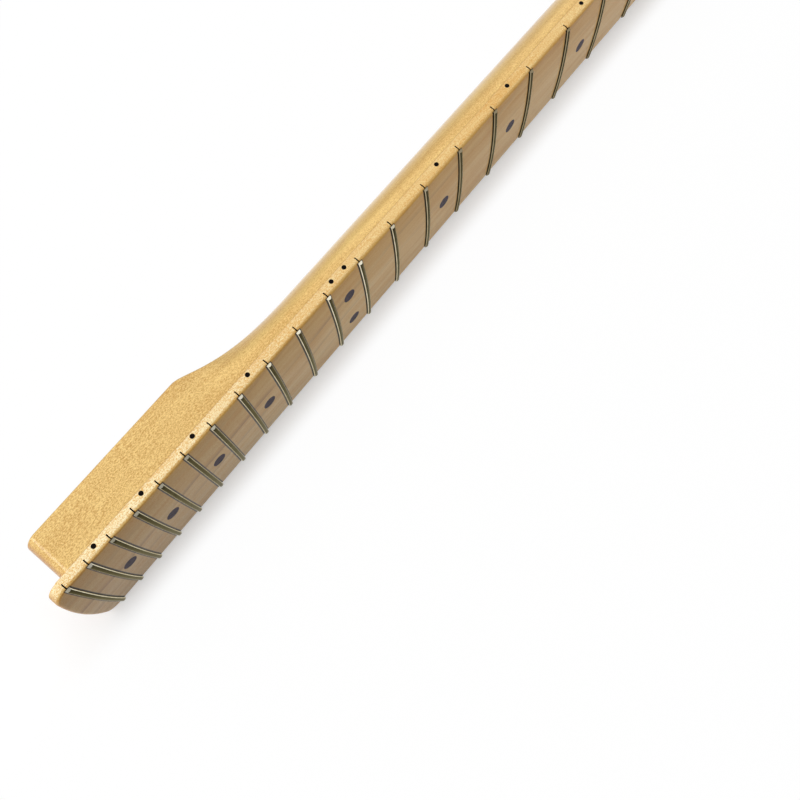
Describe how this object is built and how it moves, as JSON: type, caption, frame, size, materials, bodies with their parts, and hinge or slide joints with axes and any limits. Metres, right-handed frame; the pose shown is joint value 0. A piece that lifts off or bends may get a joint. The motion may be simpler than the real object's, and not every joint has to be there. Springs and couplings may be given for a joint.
{
  "type": "electric guitar neck",
  "caption": "Bolt-on maple guitar neck with a separate maple fingerboard, metal frets, dark position dots, a dark stripe down the back and an adjustable truss rod.",
  "frame": {"origin": "centre line of the heel's flat back, 38 mm from the heel's end, where the middle of a body's neck plate comes", "axes": "+X along the neck towards the headstock, -Y out of the fingerboard, +Y out of the back of the heel, +Z towards the bass side; the neck lies on its treble edge"},
  "size_m": [0.6608, 0.0271, 0.0616],
  "materials": {
    "neck_maple": "glossy amber lacquer over maple",
    "board_maple": "glossy amber lacquer over paler maple",
    "dark_wood": "glossy lacquer over very dark red-brown wood",
    "nickel_silver": "polished nickel silver, a white brass",
    "face_dot_plastic": "dark violet-grey plastic under lacquer",
    "side_dot_plastic": "black plastic under lacquer",
    "bone": "buffed bone",
    "steel": "bright turned steel"
  },
  "bodies": {
    "neck": {"neck": "neck_maple", "fingerboard": "board_maple", "nut": "bone", "fret_01": "nickel_silver", "fret_02": "nickel_silver", "fret_03": "nickel_silver", "fret_04": "nickel_silver", "fret_05": "nickel_silver", "fret_06": "nickel_silver", "fret_07": "nickel_silver", "fret_08": "nickel_silver", "fret_09": "nickel_silver", "fret_10": "nickel_silver", "fret_11": "nickel_silver", "fret_12": "nickel_silver", "fret_13": "nickel_silver", "fret_14": "nickel_silver", "fret_15": "nickel_silver", "fret_16": "nickel_silver", "fret_17": "nickel_silver", "fret_18": "nickel_silver", "fret_19": "nickel_silver", "fret_20": "nickel_silver", "fret_21": "nickel_silver", "fret_22": "nickel_silver", "face_dot_03": "face_dot_plastic", "face_dot_05": "face_dot_plastic", "face_dot_07": "face_dot_plastic", "face_dot_09": "face_dot_plastic", "face_dot_15": "face_dot_plastic", "face_dot_17": "face_dot_plastic", "face_dot_19": "face_dot_plastic", "face_dot_21": "face_dot_plastic", "face_dot_12_bass": "face_dot_plastic", "face_dot_12_treble": "face_dot_plastic", "side_dot_03": "side_dot_plastic", "side_dot_05": "side_dot_plastic", "side_dot_07": "side_dot_plastic", "side_dot_09": "side_dot_plastic", "side_dot_15": "side_dot_plastic", "side_dot_17": "side_dot_plastic", "side_dot_19": "side_dot_plastic", "side_dot_21": "side_dot_plastic", "side_dot_12_heel": "side_dot_plastic", "side_dot_12_head": "side_dot_plastic", "back_stripe": "dark_wood", "truss_rod": "steel", "rod_anchor": "steel", "rod_washer": "steel"},
    "adjuster": {"adjusting_nut": "steel"}
  },
  "joints": [
    {"name": "truss_rod_adjustment", "type": "hinge", "parent": "neck", "child": "adjuster", "pos_m": [0.4287, -0.0136, 0], "axis": [1, 0, 0], "range_deg": [-270, 180]}
  ]
}
